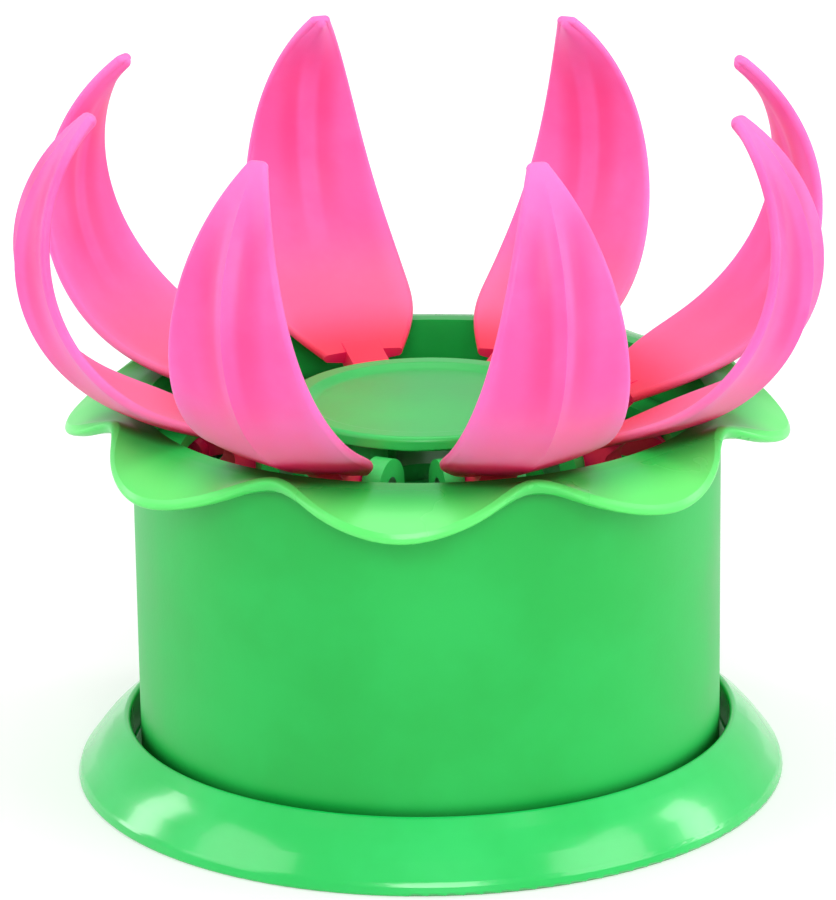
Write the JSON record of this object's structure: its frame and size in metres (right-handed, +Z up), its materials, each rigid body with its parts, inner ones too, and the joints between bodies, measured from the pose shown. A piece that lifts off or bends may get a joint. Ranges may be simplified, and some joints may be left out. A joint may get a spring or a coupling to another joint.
{
  "type": "steamed bun mold",
  "caption": "Bud-shaped bun mold: a leaf-rimmed sleeve slides on a round foot and folds hinged petals closed over a dough plate.",
  "frame": {"origin": "centre of the foot on the table", "axes": "+Z up along the mold's axis; the middle of a leaf lobe, between two petals, faces -Y"},
  "size_m": [0.1204, 0.1204, 0.1084],
  "materials": {
    "foot_green": "smooth gloss moulding",
    "sleeve_green": "fine satin texture on the tube, smooth leaf",
    "inner_green": "satin moulding",
    "petal_pink": "satin gloss, slightly translucent",
    "steel": "bright"
  },
  "bodies": {
    "foot": {"base": "foot_green", "petal_hub": "inner_green", "dough_plate": "inner_green", "screws": "steel", "hinge_pin_1": "steel", "hinge_pin_2": "steel", "hinge_pin_3": "steel", "hinge_pin_4": "steel", "hinge_pin_5": "steel", "hinge_pin_6": "steel", "hinge_pin_7": "steel", "hinge_pin_8": "steel"},
    "sleeve": {"sleeve": "sleeve_green", "retaining_ring": "inner_green"},
    "petal_1_body": {"petal_1": "petal_pink"},
    "petal_2_body": {"petal_2": "petal_pink"},
    "petal_3_body": {"petal_3": "petal_pink"},
    "petal_4_body": {"petal_4": "petal_pink"},
    "petal_5_body": {"petal_5": "petal_pink"},
    "petal_6_body": {"petal_6": "petal_pink"},
    "petal_7_body": {"petal_7": "petal_pink"},
    "petal_8_body": {"petal_8": "petal_pink"}
  },
  "joints": [
    {"name": "sleeve_lift", "type": "slide", "parent": "foot", "child": "sleeve", "axis": [0, 0, 1], "range_m": [0, 0.01239]},
    {"name": "petal_1_fold", "type": "hinge", "parent": "foot", "child": "petal_1_body", "pos_m": [0.02217, 0.00918, 0.053], "axis": [0.3827, -0.9239, 0], "range_deg": [0, 45]},
    {"name": "petal_2_fold", "type": "hinge", "parent": "foot", "child": "petal_2_body", "pos_m": [0.00918, 0.02217, 0.053], "axis": [0.9239, -0.3827, 0], "range_deg": [0, 45]},
    {"name": "petal_3_fold", "type": "hinge", "parent": "foot", "child": "petal_3_body", "pos_m": [-0.00918, 0.02217, 0.053], "axis": [0.9239, 0.3827, 0], "range_deg": [0, 45]},
    {"name": "petal_4_fold", "type": "hinge", "parent": "foot", "child": "petal_4_body", "pos_m": [-0.02217, 0.00918, 0.053], "axis": [0.3827, 0.9239, 0], "range_deg": [0, 45]},
    {"name": "petal_5_fold", "type": "hinge", "parent": "foot", "child": "petal_5_body", "pos_m": [-0.02217, -0.00918, 0.053], "axis": [-0.3827, 0.9239, 0], "range_deg": [0, 45]},
    {"name": "petal_6_fold", "type": "hinge", "parent": "foot", "child": "petal_6_body", "pos_m": [-0.00918, -0.02217, 0.053], "axis": [-0.9239, 0.3827, 0], "range_deg": [0, 45]},
    {"name": "petal_7_fold", "type": "hinge", "parent": "foot", "child": "petal_7_body", "pos_m": [0.00918, -0.02217, 0.053], "axis": [-0.9239, -0.3827, 0], "range_deg": [0, 45]},
    {"name": "petal_8_fold", "type": "hinge", "parent": "foot", "child": "petal_8_body", "pos_m": [0.02217, -0.00918, 0.053], "axis": [-0.3827, -0.9239, 0], "range_deg": [0, 45]}
  ],
  "couplings": [
    {"joint": "petal_1_fold", "follows": "sleeve_lift", "rad_per_m": 63.344},
    {"joint": "petal_2_fold", "follows": "sleeve_lift", "rad_per_m": 63.344},
    {"joint": "petal_3_fold", "follows": "sleeve_lift", "rad_per_m": 63.344},
    {"joint": "petal_4_fold", "follows": "sleeve_lift", "rad_per_m": 63.344},
    {"joint": "petal_5_fold", "follows": "sleeve_lift", "rad_per_m": 63.344},
    {"joint": "petal_6_fold", "follows": "sleeve_lift", "rad_per_m": 63.344},
    {"joint": "petal_7_fold", "follows": "sleeve_lift", "rad_per_m": 63.344},
    {"joint": "petal_8_fold", "follows": "sleeve_lift", "rad_per_m": 63.344}
  ]
}
